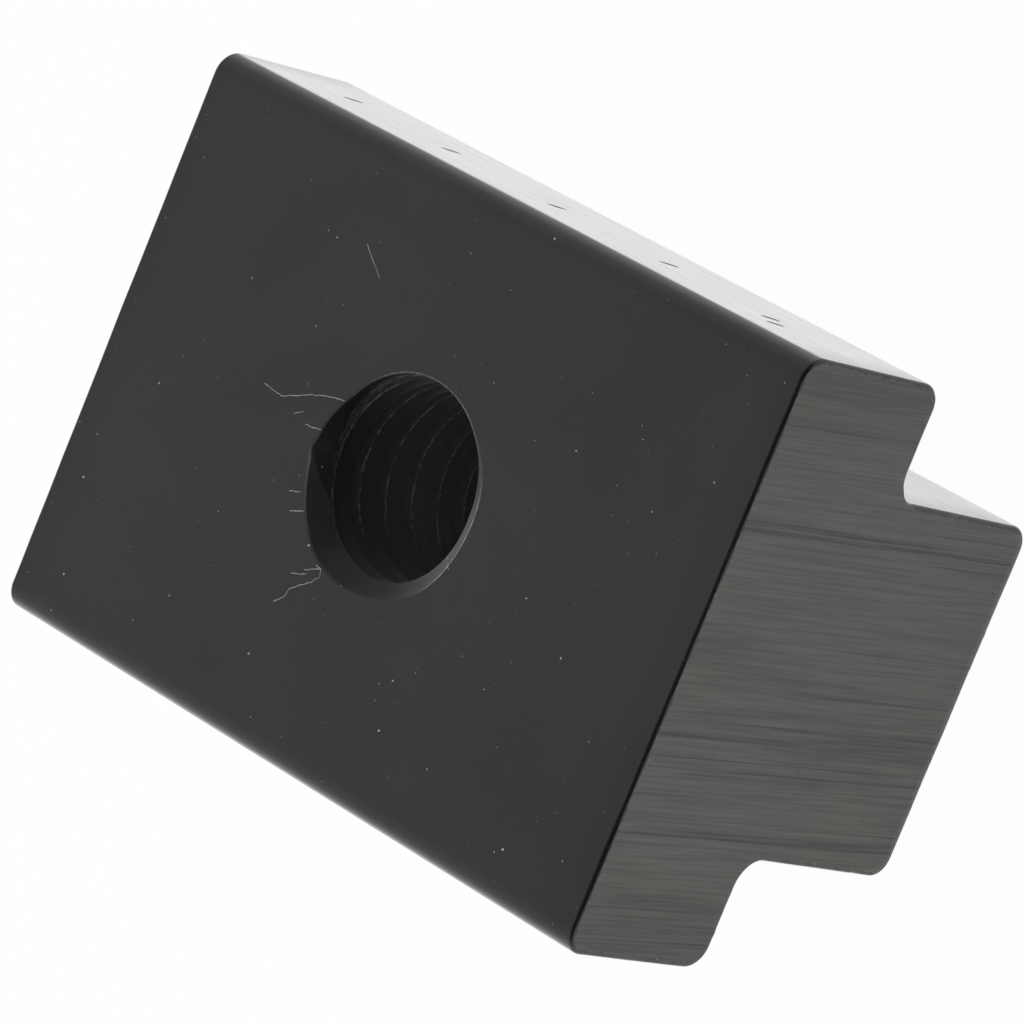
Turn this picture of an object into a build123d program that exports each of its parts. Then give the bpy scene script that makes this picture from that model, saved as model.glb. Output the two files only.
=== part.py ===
from build123d import *
import os

# A T-slot nut: a short length of cold-drawn T-section bar with one tapped hole through it.
#
# Frame: X runs along the slot, Y across it and Z up. The nut rests on the flat face of its tongue,
# with the broad face of its base on top and the hole's axis on Z. The origin is the middle of the
# face that it rests on. All sizes are in millimetres.

# Length of bar that the nut is cut from.
nut_length = 29.2

# The base, which slides in the wide part of the slot and bears up against its two lips.
base_width = 21.4
base_thickness = 7.4
base_corner_radius = 0.9

# The tongue, which stands in the slot's mouth between the lips.
tongue_width = 13.2
tongue_height = 7.8
tongue_corner_radius = 0.8

# Fillet in the corner between the tongue and each shoulder of the base.
root_radius = 1.0

# Tumbled edge all round each sawn end.
end_edge_radius = 0.2

# The hole is drilled for a 5/16-18 thread. The depth of thread that is left in the wall is a share of
# the full thread's depth, and sets the diameter of the drill.
thread_major_diameter = 7.938
threads_per_inch = 18
thread_share = 0.73
full_thread_depth_in_pitches = 0.6495
inch = 25.4

# Ring that the countersink leaves round each mouth of the hole, and its included angle.
countersink_ring = 0.6
countersink_angle = 90

# Sizes that follow from those above.
nut_height = tongue_height + base_thickness
thread_pitch = inch / threads_per_inch
thread_depth = thread_share * full_thread_depth_in_pitches * thread_pitch
bore_radius = thread_major_diameter / 2 - thread_depth
mouth_radius = bore_radius + countersink_ring


def bar_section():
    """Section of the drawn bar in the YZ plane, tongue down, with every corner rounded."""
    half_tongue = tongue_width / 2
    half_base = base_width / 2
    right_side = [
        ((half_tongue, 0), tongue_corner_radius),
        ((half_tongue, tongue_height), root_radius),
        ((half_base, tongue_height), base_corner_radius),
        ((half_base, nut_height), base_corner_radius),
    ]
    left_side = [((-y, z), radius) for (y, z), radius in reversed(right_side)]
    corners = [corner for corner, radius in right_side + left_side]
    radii = [radius for corner, radius in right_side + left_side]
    return Plane.YZ * make_face(FilletPolyline(*corners, radius=radii, close=True))


def cut_bar():
    """Length of bar, with the edges round both sawn ends tumbled smooth."""
    bar = extrude(bar_section(), amount=nut_length / 2, both=True)
    end_edges = bar.faces().filter_by(Axis.X).edges()
    return fillet(end_edges, radius=end_edge_radius)


def nut_body():
    """The bar drilled through along Z and countersunk from both faces."""
    bar = cut_bar()
    broad_face = Plane(origin=(0, 0, nut_height), z_dir=(0, 0, 1))
    tongue_face = Plane(origin=(0, 0, 0), z_dir=(0, 0, -1))
    with BuildPart() as nut:
        add(bar)
        with Locations(broad_face, tongue_face):
            CounterSinkHole(
                radius=bore_radius,
                counter_sink_radius=mouth_radius,
                counter_sink_angle=countersink_angle,
            )
    return nut.part


os.makedirs("parts", exist_ok=True)
export_step(nut_body(), "parts/nut_body.step")
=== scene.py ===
"""A T-slot nut in black oxide steel, with a tapped hole, sawn ends and a little workshop dust."""

import math
import random

import bmesh
import bpy
from bpy.props import (
    EnumProperty,
    FloatProperty,
    FloatVectorProperty,
    IntProperty,
    PointerProperty,
)
from mathutils import Matrix, Vector, noise


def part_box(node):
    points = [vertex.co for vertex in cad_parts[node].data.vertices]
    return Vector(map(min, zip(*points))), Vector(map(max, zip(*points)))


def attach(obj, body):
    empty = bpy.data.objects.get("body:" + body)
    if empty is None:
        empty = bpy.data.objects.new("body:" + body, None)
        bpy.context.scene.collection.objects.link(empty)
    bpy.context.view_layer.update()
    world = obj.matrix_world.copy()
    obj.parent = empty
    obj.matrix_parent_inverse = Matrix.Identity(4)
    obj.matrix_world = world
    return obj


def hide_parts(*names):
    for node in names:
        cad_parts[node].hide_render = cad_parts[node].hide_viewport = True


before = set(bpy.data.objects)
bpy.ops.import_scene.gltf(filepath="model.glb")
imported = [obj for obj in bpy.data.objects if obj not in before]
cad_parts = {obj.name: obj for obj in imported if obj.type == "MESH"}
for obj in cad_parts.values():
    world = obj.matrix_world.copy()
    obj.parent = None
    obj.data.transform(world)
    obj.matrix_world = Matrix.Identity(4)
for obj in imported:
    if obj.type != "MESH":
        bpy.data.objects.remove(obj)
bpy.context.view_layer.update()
nut_low, nut_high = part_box("nut_body")

bl_info = {
    "name": "T-Slot Nut",
    "version": (1, 0, 0),
    "blender": (4, 5, 0),
    "location": "View3D > Sidebar > T-Slot Nut",
    "description": "Builds a black T-slot nut with a tapped hole, its dust and its studio",
    "category": "Add Mesh",
}

MM = 0.001
TURN = 2 * math.pi
# points nearer to each other than this become one
WELD = 0.002 * MM
# between a thread's flank and a plane across its axis
FLANK_ANGLE = math.radians(30)
# the body's material slots
SKIN, SAWN, HOLE = range(3)
# share of bare metal on the first rings of each end, from the sawn face outwards
RIM_SHARES = (0.0, 0.35, 1.0, 0.5)
# a bar with its hole cut has many more faces than this
FEWEST_FACES = 1000


# ---- Sizes and colours a user would change ----


def length_property(name, description, default):
    """A length in metres, shown with its unit."""
    return FloatProperty(
        name=name,
        description=description,
        default=default,
        min=0.0,
        precision=5,
        subtype="DISTANCE",
        unit="LENGTH",
    )


def angle_property(name, description, degrees):
    """An angle, kept in radians and shown in degrees."""
    return FloatProperty(
        name=name,
        description=description,
        default=math.radians(degrees),
        subtype="ANGLE",
        unit="ROTATION",
    )


def colour_property(name, description, default):
    """A linear colour without alpha."""
    return FloatVectorProperty(
        name=name,
        description=description,
        default=default,
        size=3,
        min=0.0,
        max=1.0,
        subtype="COLOR",
    )


def number_property(name, description, default, **limits):
    """A plain number, 0 or more unless the limits say otherwise."""
    return FloatProperty(name=name, description=description, default=default, **{"min": 0.0, **limits})


class NutSizes(bpy.types.PropertyGroup):
    """The T-shaped bar."""

    length: length_property("Length", "Along the slot", nut_high.x - nut_low.x)
    base_width: length_property("Base width", "Across both flanges", nut_high.y - nut_low.y)
    height: length_property("Height", "Tongue and base together", nut_high.z - nut_low.z)
    dust_room: length_property(
        "Dust room", "Taken off every face, so that dust stays inside the size", 0.015 * MM
    )
    tongue_width: length_property("Tongue width", "The part that stands in the slot", 13.2 * MM)
    tongue_height: length_property("Tongue height", "From the tongue's face to the flanges", 7.8 * MM)
    base_round: length_property("Base corner", "Radius along the flange edges", 0.9 * MM)
    tongue_round: length_property("Tongue corner", "Radius along the tongue's edges", 0.8 * MM)
    root_round: length_property("Root corner", "Radius where the tongue meets the flange", 1.0 * MM)
    end_round: length_property("End rounding", "Worn rounding round each sawn end", 0.14 * MM)
    end_burr: length_property("End burr", "How far the sawn border is torn in and out", 0.07 * MM)
    point_spacing: length_property("Point spacing", "Between points round the section", 0.12 * MM)


class ThreadSizes(bpy.types.PropertyGroup):
    """The tapped hole and its countersinks."""

    hand: EnumProperty(
        name="Hand",
        description="Which way the thread turns",
        items=(
            ("RIGHT", "Right", "Turns down the hole clockwise"),
            ("LEFT", "Left", "Turns down the hole anticlockwise"),
        ),
        default="RIGHT",
    )
    pitch: length_property("Pitch", "From crest to crest", 25.4 / 18 * MM)
    core_radius: length_property("Core radius", "To the crests", 3.57 * MM)
    major_radius: length_property("Major radius", "To the roots", 4.10 * MM)
    root_share: number_property("Root share", "Flat at the root, as a share of the pitch", 0.18)
    crest_height: length_property("Crest height", "Where a crest passes the phase line", 14.46 * MM)
    phase: angle_property("Phase line", "Angle at which the crest height holds", 180.0)
    drift: length_property("Drift", "How far the tap stands off the middle, along the slot", 0.22 * MM)
    side_drift: length_property(
        "Side drift", "How far the tap stands off the middle, across the slot", 0.41 * MM
    )
    run_out: length_property("Run-out", "Height over which the thread fades at each mouth", 0.50 * MM)
    mouth_radius: length_property("Mouth radius", "Of the countersink at the face", 3.87 * MM)
    sink_depth: length_property("Countersink depth", "To the start of the bore, half way round", 0.34 * MM)
    sink_lean: length_property("Countersink lean", "How much deeper it is on its deep side", 0.36 * MM)
    sink_side: angle_property("Deep side", "Angle at which the countersink is deepest", 219.6)
    sink_drift: length_property("Countersink drift", "How far the cone stands off the middle", 0.17 * MM)
    lip: length_property("Lip", "Width of the worn edge round the countersink", 0.10 * MM)
    chatter: length_property("Chatter", "Waviness that the countersink tool left", 0.046 * MM)
    lobes: IntProperty(name="Lobes", description="Waves round the countersink", default=5, min=0)
    oval: length_property("Oval", "How far the mouth is from round", 0.045 * MM)
    notch: length_property("Notch", "How far the thread bites out through the mouth", 0.12 * MM)
    steps: IntProperty(name="Steps", description="Points in one turn of the thread", default=120, min=12)


class FinishSettings(bpy.types.PropertyGroup):
    """Colours of the black oxide, some of them painted light laid over it."""

    deep: colour_property("Deep oxide", "The darkest of the skin", (0.0215, 0.0215, 0.0225))
    pale: colour_property("Pale oxide", "The lightest of the skin", (0.0325, 0.0325, 0.0335))
    sawn: colour_property("Sawn ends", "The sawn faces", (0.138, 0.137, 0.134))
    rim: colour_property("Bright rim", "Bare metal on torn edges", (0.30, 0.275, 0.255))
    # painted reflection: the white that the skin's colour turns to where a face is seen nearly edge on,
    # standing in for the bright floor it mirrors
    painted_reflection: colour_property("Sheen", "Seen along the faces, nearly edge on", (1.0, 1.0, 1.0))
    bore: colour_property("Bore", "Oxide on the countersinks", (0.088, 0.088, 0.088))
    # painted light: the hole's colour made paler down in the thread and palest half way down, standing in
    # for light that hardly reaches inside
    painted_light_depths: colour_property("Depths", "Paler oxide down in the thread", (0.115, 0.115, 0.115))
    middle: colour_property("Middle", "The palest oxide, half way down", (0.48, 0.48, 0.48))
    # partly painted light: the countersink's fine rings, worn by rubbing, made lighter only on the side
    # that faces the light
    rubbed_and_lit: colour_property("Rubbed lip", "The side of the countersink that is rubbed", (0.14, 0.14, 0.14))
    lip: colour_property("Worn lip", "Bare metal on the edge of the mouth", (0.34, 0.29, 0.27))
    # partly painted highlight: crest edges worn by rubbing, painted bright only on the side of the hole
    # that faces the light
    crest: colour_property("Thread crests", "Edges of the crests that the tap rubbed", (0.80, 0.78, 0.76))
    skin_roughness: number_property("Skin roughness", "Of the flat faces", 0.34, max=1.0)


class DustSettings(bpy.types.PropertyGroup):
    """Specks and lint lying on the nut."""

    speck_size: length_property("Speck size", "Across a common speck", 0.042 * MM)
    speck_density: number_property("Specks", "Specks on a square millimetre", 0.28)
    lint_thickness: length_property("Lint thickness", "Across one fibre", 0.035 * MM)
    seed: IntProperty(name="Seed", description="Changes where the dust lies", default=7, min=0)
    colour: colour_property("Dust", "Colour of specks and lint", (0.62, 0.61, 0.58))


class StageSettings(bpy.types.PropertyGroup):
    """Camera, floor and light."""

    azimuth: angle_property("Azimuth", "Camera's place round the nut, from -Y towards +X", 104.23)
    elevation: angle_property("Elevation", "Camera's height above the floor", 49.98)
    roll: angle_property("Roll", "Turn of the picture about the line of sight", -78.76)
    distance: length_property("Distance", "From the aim to the camera", 227.5 * MM)
    aim: FloatVectorProperty(
        name="Aim",
        description="Point the camera looks at",
        default=(-0.70 * MM, -0.23 * MM, 7.6 * MM),
        size=3,
        precision=5,
        subtype="XYZ",
        unit="LENGTH",
    )
    lens: number_property("Lens", "Focal length in millimetres", 229.08, min=1.0)
    sky: number_property("Sky", "Brightness of the light tent", 1.0)
    opening: number_property("Opening", "Brightness of the tent's open side", 0.10)
    floor_colour: colour_property("Floor", "The pale floor", (0.86, 0.86, 0.86))


SETTINGS = {
    "t_nut_sizes": NutSizes,
    "t_nut_thread": ThreadSizes,
    "t_nut_finish": FinishSettings,
    "t_nut_dust": DustSettings,
    "t_nut_stage": StageSettings,
}


# ---- Objects and meshes ----


def new_object(name, data):
    """An object at the origin, in the scene's own collection."""
    made = bpy.data.objects.new(name, data)
    bpy.context.scene.collection.objects.link(made)
    return made


def mesh_from(name, bm):
    """Writes a bmesh to a new mesh and frees it."""
    mesh = bpy.data.meshes.new(name)
    bm.to_mesh(mesh)
    bm.free()
    return mesh


def settle(made):
    """Turns an object and its modifiers into one plain mesh."""
    graph = bpy.context.evaluated_depsgraph_get()
    mesh = bpy.data.meshes.new_from_object(
        made.evaluated_get(graph), preserve_all_data_layers=True, depsgraph=graph
    )
    made.modifiers.clear()
    old = made.data
    made.data = mesh
    bpy.data.meshes.remove(old)
    return made


def discard(made):
    """Removes a helper object and its mesh."""
    mesh = made.data
    bpy.data.objects.remove(made)
    bpy.data.meshes.remove(mesh)


def close_loops(bm, heights):
    """Closes each open border with a fan to a point on the Z axis, low border first."""
    border = [edge for edge in bm.edges if edge.is_boundary]
    middle = sum(edge.verts[0].co.z for edge in border) / len(border)
    tips = [bm.verts.new((0, 0, height)) for height in heights]
    for edge in border:
        tip = tips[0] if edge.verts[0].co.z < middle else tips[1]
        bm.faces.new((edge.verts[0], edge.verts[1], tip))
    bmesh.ops.recalc_face_normals(bm, faces=bm.faces)


# ---- Node helpers, for geometry trees and shader trees alike ----


def feed(tree, value, socket):
    """Links a socket, or a node's first output, to a socket, or writes a plain value on it."""
    if isinstance(value, bpy.types.Node):
        value = value.outputs[0]
    if isinstance(value, bpy.types.NodeSocket):
        tree.links.new(value, socket)
    else:
        socket.default_value = value


def node(tree, kind, inputs=None, **settings):
    """A node with its settings, and its inputs by name."""
    made = tree.nodes.new(kind)
    for key, value in settings.items():
        setattr(made, key, value)
    for key, value in (inputs or {}).items():
        feed(tree, value, made.inputs[key])
    return made


def calc(tree, operation, *values, clamp=False):
    """One step of arithmetic."""
    step = node(tree, "ShaderNodeMath", operation=operation, use_clamp=clamp)
    for value, socket in zip(values, step.inputs):
        feed(tree, value, socket)
    return step.outputs[0]


def times(tree, first, second):
    """The product of two values."""
    return calc(tree, "MULTIPLY", first, second)


def plus(tree, first, second):
    """The sum of two values."""
    return calc(tree, "ADD", first, second)


def minus(tree, first, second):
    """The difference of two values."""
    return calc(tree, "SUBTRACT", first, second)


def vector_calc(tree, operation, *values):
    """One step of vector arithmetic."""
    step = node(tree, "ShaderNodeVectorMath", operation=operation)
    for value, socket in zip(values, step.inputs):
        feed(tree, value, socket)
    return step.outputs["Value"] if operation == "DOT_PRODUCT" else step.outputs["Vector"]


def axis(tree, vector, letter):
    """One axis of a vector."""
    return node(tree, "ShaderNodeSeparateXYZ", {"Vector": vector}).outputs[letter]


def join(tree, x=0.0, y=0.0, z=0.0):
    """Three values as one vector."""
    return node(tree, "ShaderNodeCombineXYZ", {"X": x, "Y": y, "Z": z})


def ramp(tree, value, low, high, start=0.0, end=1.0, smooth=False):
    """Takes a value from low..high to start..end, and holds it there outside."""
    step = node(
        tree,
        "ShaderNodeMapRange",
        {"Value": value, "From Min": low, "From Max": high, "To Min": start, "To Max": end},
        interpolation_type="SMOOTHSTEP" if smooth else "LINEAR",
    )
    return step.outputs["Result"]


def blend(tree, factor, first, second):
    """Mixes two colours."""
    step = node(tree, "ShaderNodeMix", data_type="RGBA")
    feed(tree, factor, step.inputs[0])
    feed(tree, first, step.inputs[6])
    feed(tree, second, step.inputs[7])
    return step.outputs[2]


def rgba(colour):
    """A colour property with full alpha."""
    return (*colour, 1.0)


def grey(value):
    """A neutral colour with full alpha."""
    return (value, value, value, 1.0)


def new_tree(name, kind, inputs, outputs):
    """A node tree, with the named sockets it is given and those it fills."""
    tree = bpy.data.node_groups.new(name, kind)
    for label, socket, default in inputs:
        made = tree.interface.new_socket(label, in_out="INPUT", socket_type="NodeSocket" + socket)
        if default is not None:
            made.default_value = default
    for label, socket in outputs:
        tree.interface.new_socket(label, in_out="OUTPUT", socket_type="NodeSocket" + socket)
    given = tree.nodes.new("NodeGroupInput")
    out = tree.nodes.new("NodeGroupOutput")
    return tree, given.outputs, out.inputs


def set_inputs(modifier, values):
    """Writes a geometry tree's inputs by name, through each socket's identifier."""
    for item in modifier.node_group.interface.items_tree:
        if item.item_type == "SOCKET" and item.in_out == "INPUT" and item.name in values:
            modifier[item.identifier] = values[item.name]


def grow(name, tree, values):
    """An object made wholly by a geometry tree, settled to a plain mesh."""
    made = new_object(name, bpy.data.meshes.new(name))
    modifier = made.modifiers.new(tree.name, "NODES")
    modifier.node_group = tree
    set_inputs(modifier, values)
    return settle(made)


# ---- The bar ----


def section_corners(sizes):
    """Corners of the T, anticlockwise seen from +X. A hollow corner has a negative radius."""
    tongue = sizes.tongue_width / 2
    base = sizes.base_width / 2
    step = sizes.tongue_height
    return [
        (-tongue, 0, sizes.tongue_round),
        (tongue, 0, sizes.tongue_round),
        (tongue, step, -sizes.root_round),
        (base, step, sizes.base_round),
        (base, sizes.height, sizes.base_round),
        (-base, sizes.height, sizes.base_round),
        (-base, step, sizes.base_round),
        (-tongue, step, -sizes.root_round),
    ]


def corner_arc(before, corner, after, radius, spacing):
    """Points and outward normals round one corner of the section."""
    arriving = (corner - before).normalized()
    leaving = (after - corner).normalized()
    side = 1 if radius > 0 else -1
    size = abs(radius)
    centre = corner - arriving * size + leaving * size
    count = max(8, math.ceil(size * math.pi / 2 / spacing))
    points = []
    for step in range(count + 1):
        angle = math.pi / 2 * step / count
        outward = -leaving * math.cos(angle) + arriving * math.sin(angle)
        points.append((centre + outward * size, outward * side))
    return points


def section_points(sizes):
    """The whole outline as points with outward normals, evenly spaced on the straights."""
    corners = section_corners(sizes)
    flat = [Vector((y, z)) for y, z, radius in corners]
    arcs = []
    for index, (y, z, radius) in enumerate(corners):
        after = flat[(index + 1) % len(flat)]
        arcs.append(corner_arc(flat[index - 1], flat[index], after, radius, sizes.point_spacing))
    outline = []
    for index, arc in enumerate(arcs):
        outline += arc
        start, normal = arc[-1]
        end = arcs[(index + 1) % len(arcs)][0][0]
        count = math.ceil((end - start).length / sizes.point_spacing)
        outline += [(start.lerp(end, step / count), normal) for step in range(1, count)]
    return outline


def torn(point, end, size):
    """How far the sawn border is torn at a point of the section."""
    place = Vector((end * 5.0, point.x / MM, point.y / MM))
    coarse = noise.noise(place * 1.1)
    fine = noise.noise(place * 4.0 + Vector((9, 0, 0)))
    bite = max(0.0, noise.noise(place * 2.2 + Vector((0, 7, 0))) - 0.25)
    return size * (0.7 * coarse + 1.0 * fine + 3.0 * bite)


def end_rings(outline, sizes, end):
    """Rings of points for one end, from the sawn face round the worn edge to the side."""
    rings = []
    steps = 6
    face = sizes.length / 2 - sizes.dust_room
    # two rings on the sawn face itself, over which the rim value rises
    for inner in (0.30 * MM, 0.10 * MM):
        rings.append([(face, sizes.end_round + inner) for point in outline])
    for step in range(steps + 1):
        angle = math.pi / 2 * step / steps
        ring = []
        for point, normal in outline:
            wear = sizes.end_round * (1 + 0.22 * noise.noise(Vector((end * 3, *point)) / MM * 0.5))
            depth = wear * (1 - math.sin(angle))
            back = wear * (1 - math.cos(angle))
            if step < 2:
                depth += torn(point, end, sizes.end_burr) * (1 - step / 2)
            ring.append((face - back, depth))
        rings.append(ring)
    return rings


def make_bar(sizes):
    """The T bar as a closed mesh, with a rim value that is 1 on the sawn border."""
    bm = bmesh.new()
    rim = bm.verts.layers.float.new("rim")
    outline = section_points(sizes)
    line = []
    for end in (1, -1):
        rings = end_rings(outline, sizes, end)
        loops = []
        for number, ring in enumerate(rings):
            loop = []
            for (point, normal), (x, depth) in zip(outline, ring):
                place = point - normal * (depth + sizes.dust_room)
                vertex = bm.verts.new((x * end, place.x, place.y))
                vertex[rim] = RIM_SHARES[number] if number < len(RIM_SHARES) else 0.0
                loop.append(vertex)
            loops.append(loop)
        # one line of loops runs from the +X face to the -X face
        line += loops[::end]
    for near, far in zip(line, line[1:]):
        for index in range(len(near)):
            following = (index + 1) % len(near)
            bm.faces.new((near[index], near[following], far[following], far[index]))
    bm.faces.new(line[0])
    bm.faces.new(line[-1])
    bmesh.ops.recalc_face_normals(bm, faces=bm.faces)
    return mesh_from("nut_bar", bm)


# ---- The tapped hole ----


# sockets of a geometry tree: label, kind and default
THREAD_INPUTS = (
    ("Turns", "Float", 14.0),
    ("Steps", "Int", 120),
    ("Pitch", "Float", 1.4 * MM),
    ("Core Radius", "Float", 3.3 * MM),
    ("Depth", "Float", 0.65 * MM),
    ("Root Share", "Float", 0.125),
    ("Flank Share", "Float", 0.27),
    ("Hand", "Float", 1.0),
    ("Start", "Float", 0.0),
    ("Phase", "Float", 0.0),
    ("Tear", "Float", 0.012 * MM),
    ("Low Face", "Float", 0.0),
    ("High Face", "Float", 15.0 * MM),
    ("Run Out", "Float", 0.5 * MM),
)


def hand_sign(thread):
    """1 for a right-handed thread, -1 for a left-handed one."""
    return -1.0 if thread.hand == "LEFT" else 1.0


def flank_share(thread):
    """Length of one flank along the axis, as a share of the pitch."""
    return (thread.major_radius - thread.core_radius) * math.tan(FLANK_ANGLE) / thread.pitch


def profile_reach(tree, value, across, side):
    """How far a point stands from the middle of its groove along the axis, in pitches."""
    half_root = times(tree, value["Root Share"], 0.5)
    half_crest = minus(tree, minus(tree, 0.5, half_root), value["Flank Share"])
    flank = ramp(tree, side, 0.25, 0.75, 0, value["Flank Share"])
    reach = plus(tree, ramp(tree, side, 0, 0.25, 0, half_root), flank)
    reach = plus(tree, reach, ramp(tree, side, 0.75, 1.0, 0, half_crest))
    return times(tree, reach, calc(tree, "SIGN", across))


def thread_fade(tree, value, height):
    """1 where the groove is whole, falling to 0 where it runs out at either face."""
    over = minus(tree, height, value["Low Face"])
    under = minus(tree, value["High Face"], height)
    margin = minus(tree, calc(tree, "MINIMUM", over, under), times(tree, value["Run Out"], 0.9))
    return calc(tree, "DIVIDE", margin, value["Run Out"], clamp=True)


def thread_tear(tree, value, cosine, sine, height):
    """Small rough changes of the radius, where the tap tore the steel."""
    # the height is in metres, so it is scaled up to stand beside a circle of radius 1
    height_scale = 300.0
    spot = join(tree, cosine, sine, times(tree, height, height_scale))
    rough = node(tree, "ShaderNodeTexNoise", {"Vector": spot, "Scale": 9.0, "Detail": 3.0})
    return times(tree, minus(tree, rough, 0.5), value["Tear"])


def thread_tree():
    """Geometry tree that winds a thread's profile round the Z axis."""
    tree, value, out = new_tree(
        "Wound Thread", "GeometryNodeTree", THREAD_INPUTS, [("Geometry", "Geometry")]
    )
    along_count = plus(tree, times(tree, value["Turns"], value["Steps"]), 1.0)
    counts = {"Size X": 1.0, "Size Y": 1.0, "Vertices X": along_count, "Vertices Y": 9}
    grid = node(tree, "GeometryNodeMeshGrid", counts)
    place = node(tree, "GeometryNodeInputPosition")
    turns = times(tree, plus(tree, axis(tree, place, "X"), 0.5), value["Turns"])
    across = axis(tree, place, "Y")
    side = times(tree, calc(tree, "ABSOLUTE", across), 2.0)
    rise = plus(tree, plus(tree, turns, 0.5), profile_reach(tree, value, across, side))
    height = calc(tree, "MULTIPLY_ADD", rise, value["Pitch"], value["Start"])
    angle = times(tree, times(tree, turns, TURN), value["Hand"])
    angle = plus(tree, angle, value["Phase"])
    cosine = calc(tree, "COSINE", angle)
    sine = calc(tree, "SINE", angle)
    fade = thread_fade(tree, value, height)
    cut = times(tree, value["Depth"], minus(tree, 1.0, ramp(tree, side, 0.25, 0.75)))
    grooved = calc(tree, "MULTIPLY_ADD", cut, fade, value["Core Radius"])
    tear = thread_tear(tree, value, cosine, sine, height)
    radius = plus(tree, grooved, times(tree, tear, fade))
    wound = join(tree, times(tree, radius, cosine), times(tree, radius, sine), height)
    moved = node(tree, "GeometryNodeSetPosition", {"Geometry": grid, "Position": wound})
    merged = node(tree, "GeometryNodeMergeByDistance", {"Geometry": moved, "Distance": WELD})
    feed(tree, node(tree, "GeometryNodeRealizeInstances", {"Geometry": merged}), out["Geometry"])
    return tree


def make_tap(thread):
    """The body of the tap: a closed solid that cuts the thread out of the bar."""
    turns_below = 12
    start = thread.crest_height - turns_below * thread.pitch
    turns = turns_below + 2
    tap = grow(
        "tap",
        thread_tree(),
        {
            "Turns": float(turns),
            "Steps": thread.steps,
            "Pitch": thread.pitch,
            "Core Radius": thread.core_radius,
            "Depth": thread.major_radius - thread.core_radius,
            "Root Share": thread.root_share,
            "Flank Share": flank_share(thread),
            "Hand": hand_sign(thread),
            "Start": start,
            "Phase": thread.phase,
            "Low Face": nut_low.z,
            "High Face": nut_high.z,
            "Run Out": thread.run_out,
        },
    )
    bm = bmesh.new()
    bm.from_mesh(tap.data)
    bmesh.ops.remove_doubles(bm, verts=bm.verts, dist=WELD)
    close_loops(bm, (start - 4 * thread.pitch, start + (turns + 5) * thread.pitch))
    bmesh.ops.translate(bm, verts=bm.verts, vec=(thread.drift, thread.side_drift, 0))
    bm.to_mesh(tap.data)
    bm.free()
    return tap


def mouth_wave(thread, angle):
    """How far the mouth stands out of round at an angle: chatter, oval and the run-out's notch."""
    chatter_peak = math.radians(28)
    oval_peak = math.radians(35)
    notch_turn, notch_width = 2.5, 4.0
    wave = thread.chatter * math.cos(thread.lobes * (angle - chatter_peak))
    wave += thread.oval * math.cos(2 * (angle - oval_peak))
    off_notch = math.degrees(angle) - math.degrees(thread.phase) - notch_turn
    return wave + thread.notch * math.exp(-((off_notch / notch_width) ** 2))


# the countersink's tool: how far it stands over the face, spreads past the lip, narrows and ends
TOOL_OVER = 0.5 * MM
TOOL_SPREAD = 2.5 * MM
TOOL_REACH = 1.0 * MM
TOOL_TIP = 1.0 * MM
# the countersink is never shallower or narrower than this
LEAST_DEPTH = 0.03 * MM
LEAST_WIDTH = 0.05 * MM


def sink_profile(thread, angle):
    """Radius and depth of four points on the countersink's tool, from over the face down into the bore."""
    mouth = thread.mouth_radius + mouth_wave(thread, angle)
    half_lip = thread.lip / 2
    heading = Vector((math.cos(angle), math.sin(angle)))
    aside = Vector((thread.drift - thread.sink_drift, thread.side_drift))
    along = aside.dot(heading)
    bore = along + math.sqrt(along**2 + thread.core_radius**2 - aside.length_squared)
    mouth = max(mouth, bore + 0.1 * half_lip)
    depth = thread.sink_depth + thread.sink_lean * math.cos(angle - thread.sink_side)
    slope = max(depth, LEAST_DEPTH) / max(mouth - half_lip - bore, LEAST_WIDTH)
    lip_depth = 0.2 * thread.lip
    return (
        (mouth + half_lip + TOOL_SPREAD, -TOOL_OVER),
        (mouth + half_lip, 0.0),
        (mouth - half_lip, lip_depth),
        (mouth - half_lip - TOOL_REACH, lip_depth + slope * TOOL_REACH),
    )


def make_countersink(thread, face, outward):
    """A closed, slightly leaning cone that sinks the mouth of the hole at one face of the bar."""
    bm = bmesh.new()
    count = 144
    rings = [[] for number in range(4)]
    # part of a step by which the cone's points are turned away from the tap's
    shift = 0.37
    for step in range(count):
        angle = TURN * (step + shift) / count
        for ring, (radius, depth) in zip(rings, sink_profile(thread, angle)):
            x = radius * math.cos(angle) + thread.sink_drift
            y = radius * math.sin(angle)
            ring.append(bm.verts.new((x, y, face - outward * depth)))
    for near, far in zip(rings, rings[1:]):
        for index in range(count):
            following = (index + 1) % count
            bm.faces.new((near[index], near[following], far[following], far[index]))
    close_loops(bm, sorted((face + outward * TOOL_OVER, face - outward * TOOL_TIP)))
    bmesh.ops.recalc_face_normals(bm, faces=bm.faces)
    return new_object("countersink", mesh_from("countersink", bm))


# ---- Handling nicks ----


NICK_INPUTS = (
    ("Count", "Int", 5),
    ("Spacing", "Float", 5.2 * MM),
    ("Start", "Vector", (0.0, 0.0, 0.0)),
    ("Size", "Vector", (1.0, 1.0, 1.0)),
    ("Tilt", "Float", 0.2),
    ("Scatter", "Float", 0.2 * MM),
    ("Seed", "Int", 3),
)
# in millimetres: name, count, spacing, start along X and Z, half sizes, scatter and seed
NICK_ROWS = (
    ("nick_row", 5, 5.3, (-11.1, 11.9), (0.12, 0.17, 0.48), 0.18, 4),
    ("nick_pair", 1, 0.6, (10.7, 12.6), (0.12, 0.16, 0.44), 0.0, 1),
)


def random_vector(tree, low, high, seed):
    """A random vector for each point, between two corners."""
    made = node(tree, "FunctionNodeRandomValue", data_type="FLOAT_VECTOR")
    feed(tree, low, made.inputs[0])
    feed(tree, high, made.inputs[1])
    feed(tree, seed, made.inputs["Seed"])
    return made


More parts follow.
